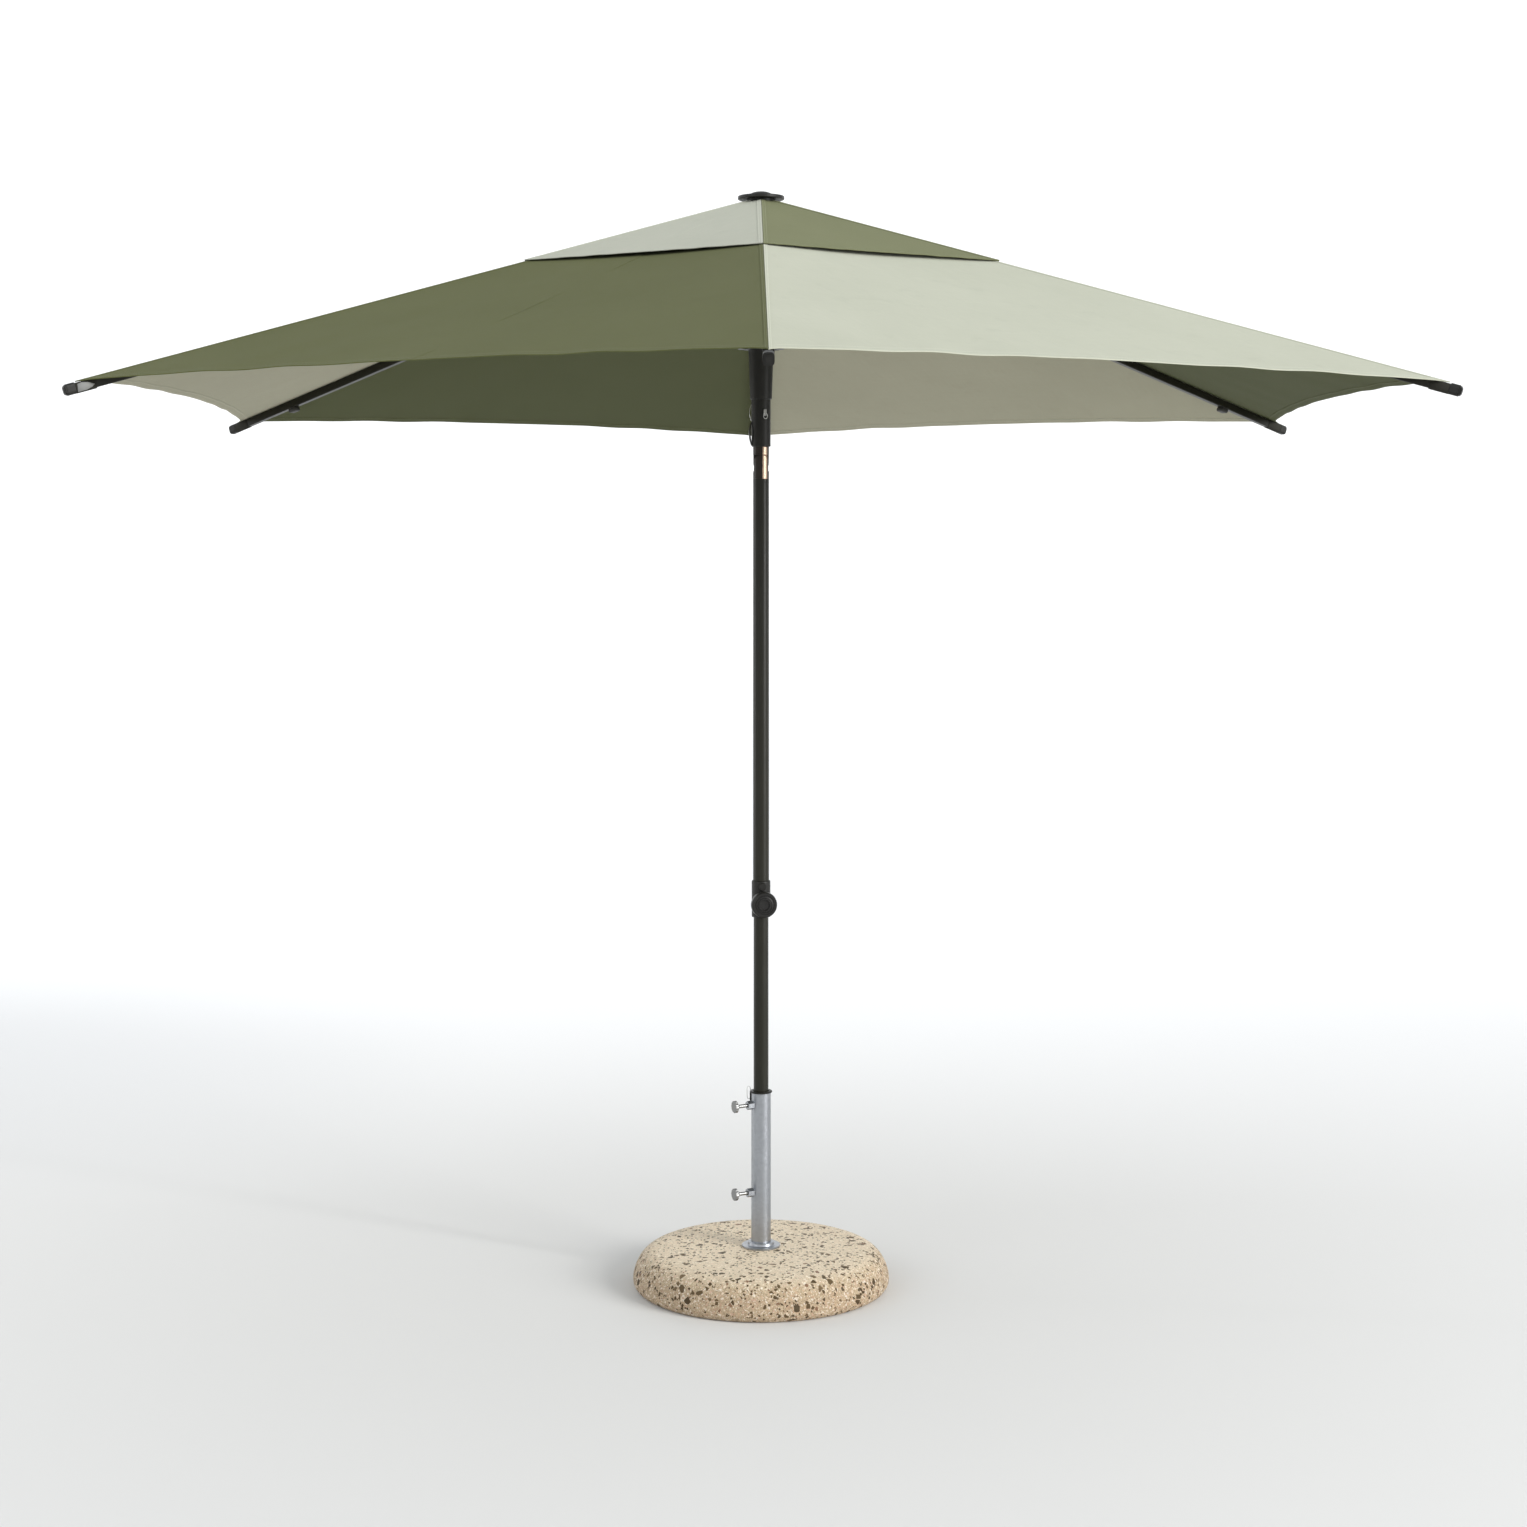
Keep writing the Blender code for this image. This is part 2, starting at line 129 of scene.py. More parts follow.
def grey(value):
    return (value,) * 3


def scaled(colour, factor, added=0.0):
    return tuple(min(1.0, c * factor + added) for c in colour)


class Graph:
    """A material and the shader nodes that feed its principled shader."""

    def __init__(self, name):
        self.mat = bpy.data.materials.new(name)
        self.mat.use_nodes = True
        self.tree = self.mat.node_tree
        self.bsdf = next(n for n in self.tree.nodes if n.type == "BSDF_PRINCIPLED")

    def node(self, kind, inputs=None, **settings):
        made = self.tree.nodes.new(kind)
        for key, value in settings.items():
            setattr(made, key, value)
        for key, value in (inputs or {}).items():
            self.feed(made.inputs[key], value)
        return made

    def feed(self, socket, value):
        if isinstance(value, bpy.types.NodeSocket):
            self.tree.links.new(value, socket)
        else:
            socket.default_value = value

    def set(self, **values):
        """Feeds the shader's inputs, with underscores for the spaces in their names."""
        for key, value in values.items():
            self.feed(self.bsdf.inputs[key.replace("_", " ")], value)

    def coords(self, scale=(1, 1, 1)):
        source = self.node("ShaderNodeTexCoord").outputs["Object"]
        return self.node("ShaderNodeMapping", {"Vector": source, "Scale": scale}).outputs[0]

    def split(self, vector):
        return self.node("ShaderNodeSeparateXYZ", {0: vector}).outputs

    def noise(self, at, scale, detail=4.0, rough=0.55):
        inputs = {"Vector": at, "Scale": scale, "Detail": detail, "Roughness": rough}
        return self.node("ShaderNodeTexNoise", inputs).outputs[0]

    def ramp(self, value, stops, mode="LINEAR"):
        made = self.node("ShaderNodeValToRGB", {"Fac": value})
        made.color_ramp.interpolation = mode
        points = made.color_ramp.elements
        while len(points) < len(stops):
            points.new(0.5)
        for point, (at, colour) in zip(points, stops):
            point.position = at
            point.color = (*colour, 1)
        return made.outputs[0]

    def fade(self, value, start, end, most=1.0, least=0.0):
        """From least, where value is at start, to most, where it is at end."""
        return self.ramp(value, [(start, grey(least)), (end, grey(most))])

    def math(self, operation, a, b=0.0):
        return self.node("ShaderNodeMath", {0: a, 1: b}, operation=operation).outputs[0]

    def plus(self, a, b):
        return self.math("ADD", a, b)

    def times(self, a, b):
        return self.math("MULTIPLY", a, b)

    def mix(self, factor, a, b, blend="MIX"):
        made = self.node("ShaderNodeMix", data_type="RGBA", blend_type=blend)
        for socket, value in zip((made.inputs[0], made.inputs[6], made.inputs[7]), (factor, a, b)):
            if isinstance(value, tuple) and len(value) == 3:
                value = (*value, 1)
            self.feed(socket, value)
        return made.outputs[2]

    def bump(self, height, distance, strength=1.0):
        inputs = {"Height": height, "Distance": distance, "Strength": strength}
        self.feed(self.bsdf.inputs["Normal"], self.node("ShaderNodeBump", inputs).outputs[0])


# ---- materials


def terrazzo():
    """Sandy matrix with cream and dark chips, with painted light on top and painted shade low down the sides.
    """
    g = Graph("terrazzo")
    still = g.coords()
    wobble = g.node("ShaderNodeTexNoise", {"Vector": still, "Scale": 60.0, "Detail": 2.0}).outputs[1]
    reach = g.node("ShaderNodeVectorMath", {0: wobble, 1: grey(0.004)}, operation="MULTIPLY").outputs[0]
    at = g.node("ShaderNodeVectorMath", {0: still, 1: reach}, operation="ADD").outputs[0]
    level = g.split(g.coords(scale=(10, 10, 10)))[2]  # height in decimetres
    pits = g.noise(at, 240.0, 5.0, 0.7)
    grit = g.noise(at, 420.0, 3.0)

    colour = g.mix(g.noise(at, 25.0), (0.53, 0.425, 0.275), (0.66, 0.55, 0.385))
    colour = g.mix(g.fade(g.noise(at, 520.0), 0.46, 0.68, 0.85), colour, (0.20, 0.145, 0.085))
    colour = g.mix(g.fade(pits, 0.55, 0.70, 0.65), colour, (0.30, 0.22, 0.13))
    height = g.times(g.fade(pits, 0.50, 0.66, 0.0, 1.0), 0.45)

    def chips(colour, height, layers, tints):
        """Each layer is a cell scale, the share of cells that are chips, and the gap left round each."""
        for scale, share, edge in layers:
            cell = g.node("ShaderNodeTexVoronoi", {"Vector": at, "Scale": scale}, feature="F1")
            border = g.node("ShaderNodeTexVoronoi", {"Vector": at, "Scale": scale}, feature="DISTANCE_TO_EDGE")
            dice = g.node("ShaderNodeSeparateColor", {0: cell.outputs["Color"]})
            chosen = g.math("LESS_THAN", dice.outputs[0], share)
            mask = g.times(chosen, g.math("GREATER_THAN", border.outputs["Distance"], edge))
            colour = g.mix(mask, colour, g.ramp(dice.outputs[1], tints, "CONSTANT"))
            height = g.plus(height, g.times(mask, 0.12))
        return colour, height

    cream = [
        (0.0, (0.62, 0.46, 0.31)), (0.22, (0.78, 0.66, 0.50)), (0.50, (0.86, 0.78, 0.65)),
        (0.70, (0.66, 0.47, 0.35)), (0.82, (0.52, 0.37, 0.25)),
    ]
    dark = [
        (0.0, (0.095, 0.065, 0.032)), (0.30, (0.135, 0.094, 0.048)), (0.58, (0.185, 0.130, 0.070)),
        (0.76, (0.110, 0.082, 0.046)), (0.92, (0.27, 0.165, 0.100)),
    ]
    colour, height = chips(colour, height, [(360.0, 0.62, 0.14), (210.0, 0.34, 0.10)], cream)
    # painted light: the top face is mixed towards pale cream, standing in for light falling on the top
    colour = g.mix(g.fade(level, 0.66, 0.84, 0.55), colour, (0.95, 0.82, 0.63))
    colour, height = chips(
        colour, height, [(240.0, 0.085, 0.08), (140.0, 0.105, 0.08), (84.0, 0.065, 0.09)], dark
    )
    # painted shade: the colour is multiplied darker low down the sides, standing in for the shade there
    painted_side_shade = g.ramp(level, [(0.45, (0.77, 0.73, 0.71)), (0.78, (1.0, 1.0, 1.0))])
    colour = g.mix(1.0, colour, painted_side_shade, "MULTIPLY")
    g.set(Base_Color=colour, Roughness=g.fade(grit, 0.3, 0.7, 0.68, 0.42), Specular_IOR_Level=0.15)
    g.bump(g.plus(height, g.times(grit, 0.5)), 0.0016, 0.9)
    return g.mat


def galvanised(name, tint):
    g = Graph(name)
    at = g.coords()
    spangle = g.node("ShaderNodeTexVoronoi", {"Vector": at, "Scale": 170.0, "Randomness": 1.0}, feature="F1")
    dice = g.node("ShaderNodeSeparateColor", {0: spangle.outputs["Color"]}).outputs[0]
    drawn = g.noise(g.coords(scale=(1, 1, 0.08)), 90.0, 5.0)
    blotch = g.fade(g.noise(at, 14.0), 0.45, 0.75, 0.30)
    stain = g.fade(g.noise(at, 38.0, 6.0, 0.7), 0.68, 0.80, 0.35)
    colour = g.mix(dice, scaled(tint, 0.95), scaled(tint, 1.05))
    colour = g.mix(blotch, colour, (0.36, 0.37, 0.38))
    colour = g.mix(stain, colour, (0.30, 0.25, 0.20))
    g.set(Base_Color=colour, Metallic=1.0, Roughness=g.plus(0.26, g.times(g.plus(dice, drawn), 0.08)))
    g.bump(g.plus(g.times(dice, 0.2), g.noise(at, 900.0, 2.0)), 0.0003, 0.5)
    return g.mat


def powder_coat(name, colour, rough):
    g = Graph(name)
    at = g.coords()
    cloud = g.noise(at, 9.0, 5.0)
    dust = g.fade(g.noise(g.coords(scale=(1, 1, 0.12)), 60.0, 6.0, 0.65), 0.55, 0.85, 0.10)
    fleck = g.fade(g.noise(at, 2600.0, 1.0), 0.62, 0.72, 0.35)
    shade = g.mix(cloud, scaled(colour, 0.82), scaled(colour, 1.2))
    shade = g.mix(dust, shade, (0.10, 0.095, 0.075))
    shade = g.mix(fleck, shade, scaled(colour, 2.2))
    g.set(Base_Color=shade, Roughness=g.plus(rough - 0.06, g.times(cloud, 0.16)), Specular_IOR_Level=0.27)
    g.bump(g.noise(at, 1300.0, 2.0), 0.00016, 0.5)
    return g.mat


def plastic(name, colour, rough):
    g = Graph(name)
    at = g.coords()
    grain = g.node("ShaderNodeTexVoronoi", {"Vector": at, "Scale": 1100.0}, feature="SMOOTH_F1")
    cloud = g.noise(at, 22.0, 5.0)
    scuff = g.fade(g.noise(g.coords(scale=(0.4, 1, 2.2)), 150.0, 6.0, 0.7), 0.62, 0.85, 0.16)
    shade = g.mix(cloud, scaled(colour, 0.8), scaled(colour, 1.25))
    shade = g.mix(scuff, shade, (0.11, 0.105, 0.095))
    g.set(Base_Color=shade, Roughness=g.plus(rough - 0.08, g.times(cloud, 0.18)), Specular_IOR_Level=0.30)
    g.bump(grain.outputs["Distance"], 0.00018, 0.6)
    return g.mat


def brushed_noise(g):
    return g.noise(g.coords(scale=(1, 1, 0.04)), 1500.0, 3.0)


def highlight_painted_metal(name):
    """Dark coat, with a painted highlight: a copper-coloured metallic strip down the front right of the tilt
    joint.
    """
    g = Graph(name)
    across, depth = g.split(g.coords(scale=(100, 100, 100)))[0:2]  # in centimetres
    ragged = g.times(g.math("SUBTRACT", g.noise(g.coords(scale=(1, 1, 0.3)), 260.0), 0.5), 0.35)
    # painted highlight: the mask of the copper strip, on the front right side only
    past_highlight_edge = g.math("GREATER_THAN", g.plus(across, ragged), 0.30)
    strip = g.times(past_highlight_edge, g.math("LESS_THAN", across, 1.34))
    strip = g.times(strip, g.math("LESS_THAN", depth, 0.0))
    brushed = brushed_noise(g)
    # the painted highlight's copper colour
    painted_highlight_copper = g.mix(brushed, (0.36, 0.25, 0.175), (0.66, 0.49, 0.37))
    g.set(
        Base_Color=g.mix(strip, (0.020, 0.013, 0.008), painted_highlight_copper), Metallic=strip,
        Roughness=g.plus(0.26, g.times(brushed, 0.12)), Specular_IOR_Level=0.3,
    )
    g.bump(brushed, 0.0001, 0.5)
    return g.mat


def bright(name, colour, rough):
    """Bare steel, brushed along Z and lightly stained."""
    g = Graph(name)
    brushed = brushed_noise(g)
    stain = g.noise(g.coords(), 55.0, 5.0)
    shade = g.mix(brushed, scaled(colour, 0.85), scaled(colour, 1.15))
    shade = g.mix(g.fade(stain, 0.5, 0.8, 0.5), shade, scaled(colour, 0.45))
    g.set(Base_Color=shade, Metallic=0.9, Roughness=g.plus(rough, g.times(stain, 0.2)))
    g.bump(brushed, 0.0001, 0.5)
    return g.mat


def cloth(name, colour, fade, stitches=()):
    """Woven acrylic canvas. UVs are metres along the cloth, and each stitch line is a v that runs along u."""
    g = Graph(name)
    at = g.coords()
    uv = g.node("ShaderNodeTexCoord").outputs["UV"]
    u, v = g.split(uv)[0:2]

    def wave(along, pitch):
        return g.math("SINE", g.times(along, 2 * math.pi / pitch))

    def slubs(scale):
        return g.noise(g.node("ShaderNodeMapping", {"Vector": uv, "Scale": scale}).outputs[0], 1.0, 3.0)

    weave = g.times(wave(u, THREAD_PITCH), wave(v, THREAD_PITCH))
    slub = g.times(g.plus(slubs((12, 900, 1)), slubs((900, 12, 1))), 0.5)
    weather = g.noise(at, 2.2, 6.0, 0.6)
    streak = g.noise(g.coords(scale=(1, 1, 0.35)), 16.0, 6.0, 0.65)
    shade = g.mix(g.fade(weather, 0.30, 0.72), colour, fade)
    shade = g.mix(g.fade(slub, 0.38, 0.60, 0.0, 0.28), shade, scaled(colour, 0.72))
    shade = g.mix(g.fade(streak, 0.58, 0.80, 0.20), shade, scaled(colour, 0.62))
    height = g.plus(g.times(weave, 0.35), slub)
    if stitches:
        dash = g.math("LESS_THAN", g.math("FRACT", g.math("DIVIDE", u, STITCH_PITCH)), 0.70)
        lines = 0.0
        for line in stitches:
            near = g.math("LESS_THAN", g.math("ABSOLUTE", g.math("SUBTRACT", v, line)), STITCH_HALF)
            lines = g.math("MAXIMUM", lines, near)
        stitch = g.times(lines, dash)
        shade = g.mix(stitch, shade, scaled(colour, 1.25, 0.06))
        pucker = g.times(wave(u, 2 * STITCH_PITCH), 0.4)
        height = g.plus(g.plus(height, g.times(stitch, 2.2)), pucker)
    g.set(
        Base_Color=shade, Roughness=g.plus(0.80, g.times(slub, 0.14)),
        Sheen_Weight=0.03, Sheen_Roughness=0.5, Specular_IOR_Level=0.12,
    )
    g.bump(height, 0.0004, 0.5)
    return g.mat


# ---- cloth shapes


def rib_turn(k):
    return math.radians(-90 + 60 * k)


def rib_frame(k):
    return (
        Matrix.Rotation(rib_turn(k), 4, "Z")
        @ Matrix.Translation((PIVOT_R, 0, CROWN_Z))
        @ Matrix.Rotation(RIB_SLOPE, 4, "Y")
    )


def new_mesh(name, points, faces, mat, uvs=None):
    mesh = bpy.data.meshes.new(name)
    mesh.from_pydata([tuple(p) for p in points], [], faces)
    mesh.materials.append(mat)
    if uvs:
        layer = mesh.uv_layers.new(name="UVMap")
        for loop in mesh.loops:
            layer.data[loop.index].uv = uvs[loop.vertex_index]
    for face in mesh.polygons:
        face.use_smooth = True
    ob = bpy.data.objects.new(name, mesh)
    bpy.context.scene.collection.objects.link(ob)
    return ob


def fit(piece, body):
    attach(piece, body)


def turn_to(ob, normal):
    """Turns the mesh's faces so that, taken together, they look along the normal."""
    mesh = ob.data
    mesh.update()
    total = sum((p.normal * p.area for p in mesh.polygons), Vector())
    if total.dot(normal) < 0:
        mesh.flip_normals()


def add_thickness(ob, thick, offset=-1.0):
    solid = ob.modifiers.new("Thickness", "SOLIDIFY")
    solid.thickness = thick
    solid.offset = offset
    solid.use_even_offset = True
    split = ob.modifiers.new("Crisp rim", "EDGE_SPLIT")
    split.split_angle = math.radians(50)


def grid_faces(rows, columns):
    """Quads over (rows + 1) by (columns + 1) points, listed row by row."""
    faces = []
    for i in range(rows):
        for j in range(columns):
            a = i * (columns + 1) + j
            faces.append((a, a + 1, a + columns + 2, a + columns + 1))
    return faces


class Panel:
    """Half a panel. s runs from its ridge (0) to the panel's middle (1).

    t runs from its inner edge (0) to the hem (1), and side is -1 or 1, for the half before or after rib k.
    """

    def __init__(self, k, side, inner, outer, lift, scallop, sag):
        self.k, self.side = k, side
        self.inner, self.outer, self.lift, self.scallop, self.sag = inner, outer, lift, scallop, sag
        self.notch = HEM_NOTCH if scallop else 0.0
        self.wave = 1.0 if scallop else 0.35
        self.turn = Matrix.Rotation(rib_turn(k) + side * HALF, 3, "Z")
        self.normal = self.turn @ Vector((FALL, 0, 1)).normalized()
        ridge = Matrix.Rotation(rib_turn(k), 3, "Z") @ Vector((1, 0, -RISE)).normalized()
        self.across = self.normal.cross(ridge).normalized()
        if self.across.dot(self.turn @ Vector((1, 0, 0))) < 0:
            self.across.negate()
        self.anchor = Vector((0, 0, APEX_Z + lift))

    def plan(self, s, t):
        """The point's distances out along the panel's middle line and sideways from it."""
        x0 = self.inner * math.cos(HALF)
        half_in, half_out = x0 * math.tan(HALF), self.outer * math.sin(HALF)
        y0 = (half_in - HALF_GAP) * (1 - s)
        y1 = (half_out - HALF_GAP) * (1 - s)
        curve = 1 - ((y1 + HALF_GAP * (1 - s)) / half_out) ** 2
        notch = self.notch * (1 - math.exp(-(half_out - HALF_GAP * (1 - s) - y1) / NOTCH_LENGTH))
        x1 = self.outer * math.cos(HALF) - (self.scallop - self.notch) * curve - notch
        return x0 + (x1 - x0) * t, y0 + (y1 - y0) * t

    def at(self, s, t, off=0.0):
        """The point in space, with the cloth's sag and ripple, and off along the panel's normal."""
        x, y = self.plan(s, t)
        middle = 1 - (1 - s) ** 2
        panel = self.k + (self.side > 0)
        drop = self.sag * middle * (0.35 + 0.65 * math.sin(math.pi * (0.12 + 0.80 * t)))
        pull = RIPPLE * math.sin(24 * s + 3.1 * t + 1.7 * self.k) * math.sin(math.pi * s) ** 2 * t ** 3
        pull += RIPPLE * noise.noise(Vector((x * 5 + 3.7 * panel, -self.side * y * 5, 0.3)))
        pull *= self.wave * min(1.0, 4 * s)
        flat = Vector((x, -self.side * y, APEX_Z + self.lift - FALL * x))
        return self.turn @ flat + self.normal * (off + pull - drop)

    def grid(self, name, mat, wide, long, thick):
        points, uvs = [], []
        for i in range(long + 1):
            for j in range(wide + 1):
                s, t = j / wide, i / long
                points.append(self.at(s, t))
                x, y = self.plan(s, t)
                uvs.append((y, x * UV_SLOPE))
        faces = grid_faces(long, wide)
        if self.side < 0:
            faces = [face[::-1] for face in faces]
        ob = new_mesh(name, points, faces, mat, uvs)
        add_thickness(ob, thick)
        turn_to(ob, self.normal)
        return ob

    def band(self, name, mat, width, thick, along, steps, off):
        """A doubled strip along the hem ('hem') or the ridge ('seam')."""
        points, uvs = [], []
        columns = 4
        travelled, last = 0.0, None
        for i in range(steps + 1):
            f = i / steps
            row = []
            for j in range(columns + 1):
                w = width * j / columns
                if along == "hem":
                    long = self.plan(f, 1.0)[0] - self.plan(f, 0.0)[0]
                    row.append(self.at(f, 1.0 - w / max(0.2, long), off))
                else:
                    half_wide = self.plan(0.0, f)[1]
                    row.append(self.at(min(0.9, w / max(0.02, half_wide)), f, off))
            if last is not None:
                travelled += (row[0] - last).length
            last = row[0]
            for j, p in enumerate(row):
                points.append(p)
                uvs.append((travelled, width * j / columns))
        ob = new_mesh(name, points, grid_faces(steps, columns), mat, uvs)
        turn_to(ob, self.normal)
        add_thickness(ob, thick, 0.0)
        return ob

    def fold(self, ob):
        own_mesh(ob)


def cloth_set(tone, fresh, faded, underside_shade):
    """Canvas, its underside, hem, the hem's underside, and seam. The under factors darken the colours seen
    from below, as painted shade.
    """
    shaded_beneath = [tuple(c * u for c, u in zip(tint, underside_shade)) for tint in (fresh, faded)]
    return (
        cloth(f"{tone}_canvas", fresh, faded), cloth(f"{tone}_underside", *shaded_beneath),
        cloth(f"{tone}_hem", fresh, faded, HEM_STITCHES), cloth(f"{tone}_hem_under", *shaded_beneath, HEM_STITCHES),
        cloth(f"{tone}_seam", fresh, faded, SEAM_STITCHES),
    )


def panels():
    mats = {tone: cloth_set(tone, *colours) for tone, colours in {
        # The third entry of each tone darkens its underside: painted shade.
        "olive": ((0.102, 0.110, 0.041), (0.116, 0.124, 0.050), (0.67, 0.69, 0.72)),
        "pale": ((0.450, 0.462, 0.370), (0.485, 0.497, 0.402), (0.76, 0.715, 0.655)),
        # painted light: olive_top is a lighter copy of the main olive, brightening the vent's olive panels for
        # the light falling on them
        "olive_top": ((0.158, 0.168, 0.084), (0.176, 0.186, 0.096), (0.50, 0.52, 0.55)),
        "pale_top": ((0.435, 0.445, 0.368), (0.465, 0.475, 0.395), (0.72, 0.68, 0.63)),
    }.items()}
    for k in range(RIBS):
        for letter, side in (("a", -1), ("b", 1)):
            pale = (k % 2 == 1) if side < 0 else (k % 2 == 0)
            main_tone, vent_tone = ("pale", "olive") if pale else ("olive", "pale")
            cloth_half(
                f"canopy_{k + 1}{letter}", k, mats[main_tone],
                Panel(k, side, CANOPY_IN, RIM, 0.0, SCALLOP, MAIN_SAG), (22, 40), 60, 60, 1.9 * MM,
            )
            cloth_half(
                f"vent_{k + 1}{letter}", k, mats[f"{vent_tone}_top"],
                Panel(k, side, VENT_IN, VENT_RIM, VENT_SHOWN, 0.0, VENT_SAG), (10, 18), 20, 24, 1.3 * MM,
            )


def cloth_half(node, k, mats, panel, cells, hem_steps, seam_steps, hem_thick):
    """The cloth, hem and seam that stand for one CAD node, sewn along rib k."""
    canvas, shaded_beneath, hem_mat, hem_under, seam_mat = mats
    body = f"rib_{k + 1}"
    main = panel.grid(f"{node}_cloth", canvas, *cells, 0.6 * MM)
    hem = panel.band(f"{node}_hem", hem_mat, HEM_WIDTH, hem_thick, "hem", hem_steps, -0.3 * MM)
    seam = panel.band(f"{node}_seam", seam_mat, SEAM_WIDTH, 1.5 * MM, "seam", seam_steps, 0.1 * MM)
    # the underside materials carry painted shade
    for piece, mat in ((main, shaded_beneath), (hem, hem_under)):
        piece.data.materials.append(mat)
        piece.modifiers["Thickness"].material_offset = 1
    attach(main, body)
    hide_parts(node)
    for piece in (hem, seam):
        fit(piece, body)
    for piece in (main, hem, seam):
        panel.fold(piece)


# ---- trim


def rounded_block(name, size, radius, segments, mat, place):
    mesh = bpy.data.meshes.new(name)
    shape = bmesh.new()
    bmesh.ops.create_cube(shape, size=1.0)
    bmesh.ops.scale(shape, vec=size, verts=shape.verts)
    bmesh.ops.bevel(
        shape, geom=list(shape.edges), offset=radius, segments=segments, profile=0.5, affect="EDGES"
    )
    bmesh.ops.transform(shape, matrix=place, verts=shape.verts)
    for face in shape.faces:
        face.smooth = True
    shape.to_mesh(mesh)
    shape.free()
    mesh.materials.append(mat)
    ob = bpy.data.objects.new(name, mesh)
    bpy.context.scene.collection.objects.link(ob)
    return ob


def loft(name, sections, mat):
    """Rings of equal length joined in order, with both ends closed."""
    n = len(sections[0])
    points = [p for ring in sections for p in ring]
    faces = []
    for i in range(len(sections) - 1):
        for j in range(n):
            k = (j + 1) % n
            faces.append((i * n + j, i * n + k, (i + 1) * n + k, (i + 1) * n + j))
    faces += [list(range(n))[::-1], [(len(sections) - 1) * n + j for j in range(n)]]
    return new_mesh(name, points, faces, mat)


def saddle(name, mat, place, x0, x1, half_w, top, low, thick):
    """A strap that wraps under a bar: a U section swept along local X with softened ends."""
    steps, belly, soft = 14, 0.55 * half_w, 1.2 * MM
    arc = [math.pi * k / steps for k in range(steps + 1)]
    outer = [(-half_w * math.cos(a), low - belly * math.sin(a)) for a in arc]
    outer = [(-half_w, top)] + outer + [(half_w, top)]
    inner = [
        (y * (half_w - thick) / half_w, max(z, low - belly + thick) if abs(y) < half_w else z)
        for y, z in outer
    ]
    ring = outer + inner[::-1]
    sections = []
    for x, shrink in ((x0, 0.94), (x0 + soft, 1.0), (x1 - soft, 1.0), (x1, 0.94)):
        sections.append([
            place @ Vector((x, y * shrink, z if z > low else low + (z - low) * shrink)) for y, z in ring
        ])
    return loft(name, sections, mat)


def tube(name, path, radius, mat, sides=8):
    """A round wire along a path of points."""
    rings, up = [], Vector((0.2, 0.1, 1)).normalized()
    angles = [2 * math.pi * j / sides for j in range(sides)]
    for i, p in enumerate(path):
        ahead = (path[min(i + 1, len(path) - 1)] - path[max(i - 1, 0)]).normalized()
        side = ahead.cross(up)
        if side.length < 0.1:
            side = ahead.cross(Vector((1, 0, 0)))
        side.normalize()
        up = side.cross(ahead).normalized()
        rings.append([p + (side * math.cos(a) + up * math.sin(a)) * radius for a in angles])
    return loft(name, rings, mat)


def polar(turn, r, z):
    """A point at turn degrees round the pole."""
    return Vector((r * math.cos(math.radians(turn)), r * math.sin(math.radians(turn)), z))


def rib_trim():
    """A clip and a corner pocket on each rib, and one light patch."""
    black = plastic("clip_plastic", (0.030, 0.029, 0.026), 0.48)
    tape = cloth("pocket_tape", (0.026, 0.025, 0.020), (0.034, 0.033, 0.027))
    patch = cloth("pocket_patch", (0.22, 0.22, 0.21), (0.30, 0.30, 0.29))
    for k in range(RIBS):
        body, place = f"rib_{k + 1}", rib_frame(k)
        clip = rounded_block(
            f"rib_clip_{k + 1}", (22 * MM, 21 * MM, 11 * MM), 3.6 * MM, 4, black,
            place @ Matrix.Translation((CLIP_AT, 0, -13.6 * MM)),
        )
        fit(clip, body)
        pocket = saddle(
            f"corner_pocket_{k + 1}", tape, place, RIB_END - 62 * MM, RIB_END - 22.6 * MM,
            half_w=9.6 * MM, top=9.6 * MM, low=-5.6 * MM, thick=0.9 * MM,
        )
        fit(pocket, body)
        if k == PATCHED_RIB:
            outline = [
                (-23.5, -8.6), (-26.5, 6.4), (-34, 7.6), (-46, 5.2), (-58, -1.5), (-52, -5.6), (-40, -8.4)
            ]
            label = loft("corner_patch", [
                [place @ Vector((RIB_END + x * MM, y * MM, z * MM)) for x, z in outline]
                for y in (9.5, 10.3, 10.9)
            ], patch)
            fit(label, body)


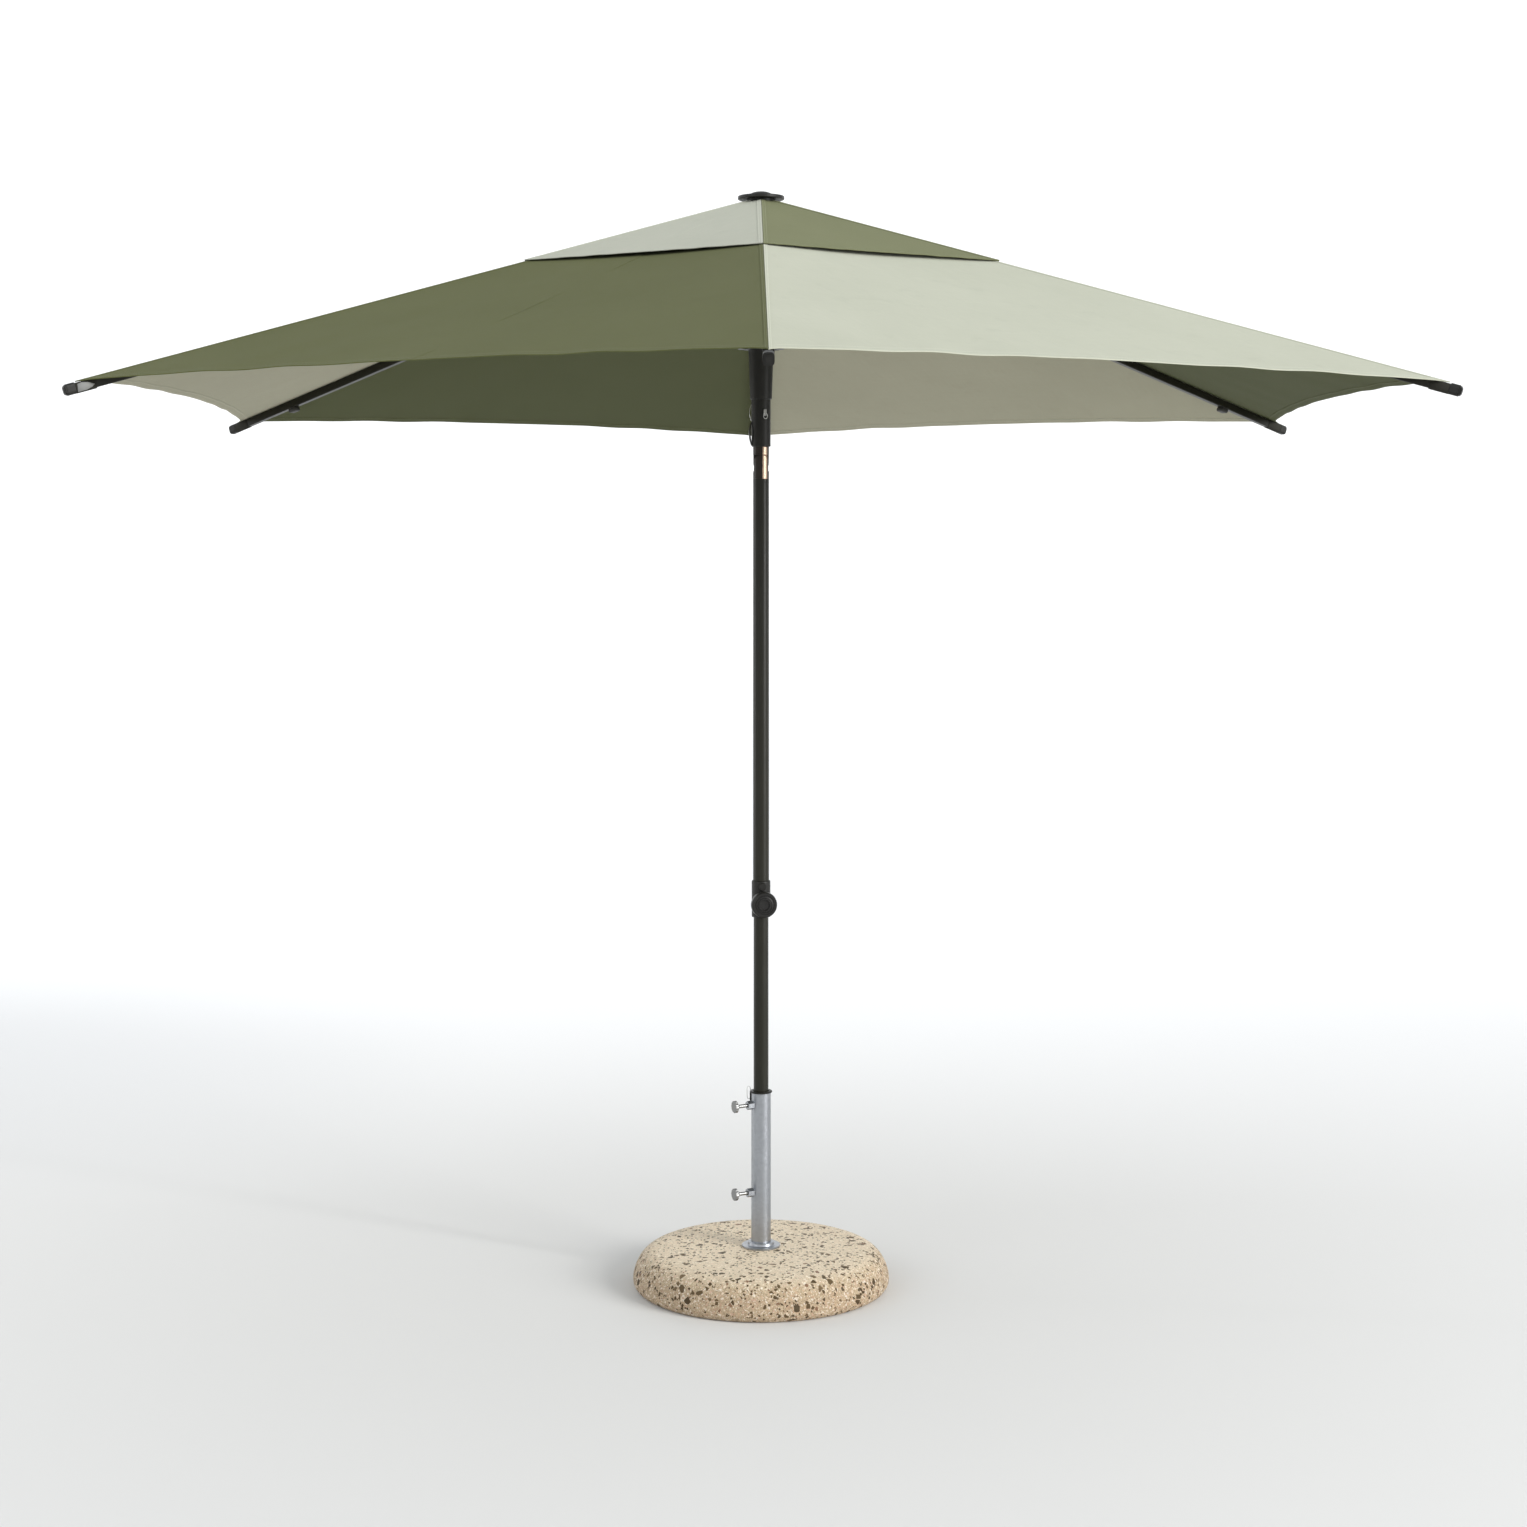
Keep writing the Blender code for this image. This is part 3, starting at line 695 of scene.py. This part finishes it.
def small_parts():
    """The wire on the reducer, and the lever, wire and ring on the runner."""
    wire_mat = bright("spring_wire", (0.68, 0.68, 0.66), 0.22)
    lever_mat = plastic("lever_plastic", (0.020, 0.019, 0.017), 0.30)

    profile = [
        (0.0225, 0.4216), (0.0232, 0.4262), (0.0252, 0.4296), (0.0280, 0.4304), (0.0300, 0.4280),
        (0.0306, 0.4225), (0.0304, 0.4120), (0.0300, 0.4060), (0.0288, 0.4030), (0.0268, 0.4024),
        (0.0252, 0.4040),
    ]
    wire = tube("reducer_wire", [polar(176, r, z) for r, z in profile], 0.7 * MM, wire_mat)
    fit(wire, "base")

    sections = []
    steps, lever_top, lever_length = 14, 1.8700, 0.0500
    for i in range(steps + 1):
        f = i / steps
        z = lever_top - lever_length * f
        r = 0.0213 + 0.0046 * math.sin(math.pi * min(1.0, f * 1.05)) ** 0.8
        thick, half = 1.5 * MM, 5.0 * (0.7 + 0.3 * math.sin(math.pi * f)) / 24
        sections.append([polar(198 + math.degrees(a), rr, z) for a, rr in (
            (-half, r), (-half * 0.8, r + thick), (0, r + thick * 1.35),
            (half * 0.8, r + thick), (half, r), (0, r - 0.1 * MM),
        )])
    fit(loft("release_lever", sections, lever_mat), "runner")

    pull = []
    for f in [i / 12 for i in range(13)]:
        pull.append(polar(196 + 3 * f, 0.0222 + 0.0040 * math.sin(math.pi * f), 1.9080 - 0.036 * f))
    fit(tube("release_wire", pull, 0.6 * MM, wire_mat), "runner")

    facing = -68
    middle = polar(facing, 0.0254, 1.8830)
    across = Vector((-math.sin(math.radians(facing)), math.cos(math.radians(facing)), 0))
    hoop = []
    for i in range(25):
        a = math.radians(20 + 320 * i / 24)
        hoop.append(middle + (across * math.sin(a) * 4.6 + Vector((0, 0, 1)) * math.cos(a) * 6.2) * MM)
    fit(tube("catch_ring", hoop, 0.6 * MM, wire_mat), "runner")


def dress():
    """Gives every CAD node its material."""
    coat = powder_coat("frame_coat", (0.0125, 0.0120, 0.0070), 0.30)
    dark = plastic("moulded_black", (0.0105, 0.0100, 0.0080), 0.42)
    knob = plastic("knob_black", (0.0110, 0.0105, 0.0095), 0.34)
    zinc = galvanised("galvanised", (0.37, 0.385, 0.41))
    screw = galvanised("screw_zinc", (0.26, 0.26, 0.255))
    tilt = highlight_painted_metal("tilt_metal")
    steel = bright("catch_steel", (0.24, 0.24, 0.23), 0.30)
    stone = terrazzo()
    chosen = {
        "terrazzo_base": stone, "base_tube": zinc, "base_flange": zinc, "reducer_collar": dark,
        "upper_thumb_screw": screw, "lower_thumb_screw": screw, "pole_foot_plug": dark, "height_collar": dark,
        "height_knob": knob, "tilt_fork": tilt, "tilt_tongue": tilt, "crown_hub": dark, "finial": dark,
        "runner": dark, "runner_catch": steel,
    }
    for name, node in NODES.items():
        mat = dark if name.startswith("rib_cap") else chosen.get(name, coat)
        node.data.materials.clear()
        node.data.materials.append(mat)


# ---- stage


def aimed(name, light, at, aim):
    ob = bpy.data.objects.new(name, light)
    ob.location = at
    ob.rotation_euler = (Vector(aim) - Vector(at)).to_track_quat("-Z", "Y").to_euler()
    bpy.context.scene.collection.objects.link(ob)


def strip(name, at, aim, wide, tall, power):
    light = bpy.data.lights.new(name, "AREA")
    light.shape = "RECTANGLE"
    light.size, light.size_y = wide, tall
    light.energy = power
    aimed(name, light, at, aim)


def sun(name, at, aim, strength, spread, colour):
    light = bpy.data.lights.new(name, "SUN")
    light.energy, light.angle, light.color = strength, math.radians(spread), colour
    aimed(name, light, at, aim)


def stage():
    """A pale floor that curves up into a far wall, two soft suns, three strips and a pale sky."""
    g = Graph("floor")
    depth = g.split(g.coords(scale=(0.125, 0.125, 0.125)))[1]
    g.set(Base_Color=g.ramp(depth, [(0.08, (0.70, 0.695, 0.68)), (0.50, (0.90, 0.90, 0.895))]), Roughness=0.85)
    half_wide, wall_y, bend, top = 40, 26.0, 6, 18.0
    rows = [(-40.0, 0.0), (wall_y, 0.0)]
    for a in range(10, 91, 10):
        rows.append((wall_y + bend * math.sin(math.radians(a)), bend - bend * math.cos(math.radians(a))))
    rows.append((wall_y + bend, top))
    points, faces = [], []
    for y, z in rows:
        points += [(-half_wide, y, z - 0.0004), (half_wide, y, z - 0.0004)]
    for i in range(len(rows) - 1):
        faces.append((2 * i, 2 * i + 1, 2 * i + 3, 2 * i + 2))
    new_mesh("studio_floor", points, faces, g.mat)

    sun("key", (5.5, -4.6, 4.6), (0, 0, 1.5), 1.90, 22, (1.0, 0.985, 0.96))
    sun("fill", (-5.5, -5.0, 4.5), (0, 0, 1.3), 0.38, 26, (0.95, 0.975, 1.0))
    strip("edge_right", (6.4, -3.8, 1.3), (0, 0, 1.0), 0.50, 4.4, 125)
    strip("edge_top", (6.4, -3.8, 2.2), (0, 0, 1.6), 0.45, 2.0, 85)
    strip("edge_left", (-6.8, 1.2, 1.3), (0, 0, 1.0), 0.5, 4.4, 80)
    world = bpy.data.worlds.new("world")
    world.use_nodes = True
    back = next(n for n in world.node_tree.nodes if n.type == "BACKGROUND")
    back.inputs[0].default_value = (0.93, 0.96, 1.0, 1)
    back.inputs[1].default_value = 0.86
    bpy.context.scene.world = world


look()
stage()
dress()
panels()
rib_trim()
small_parts()
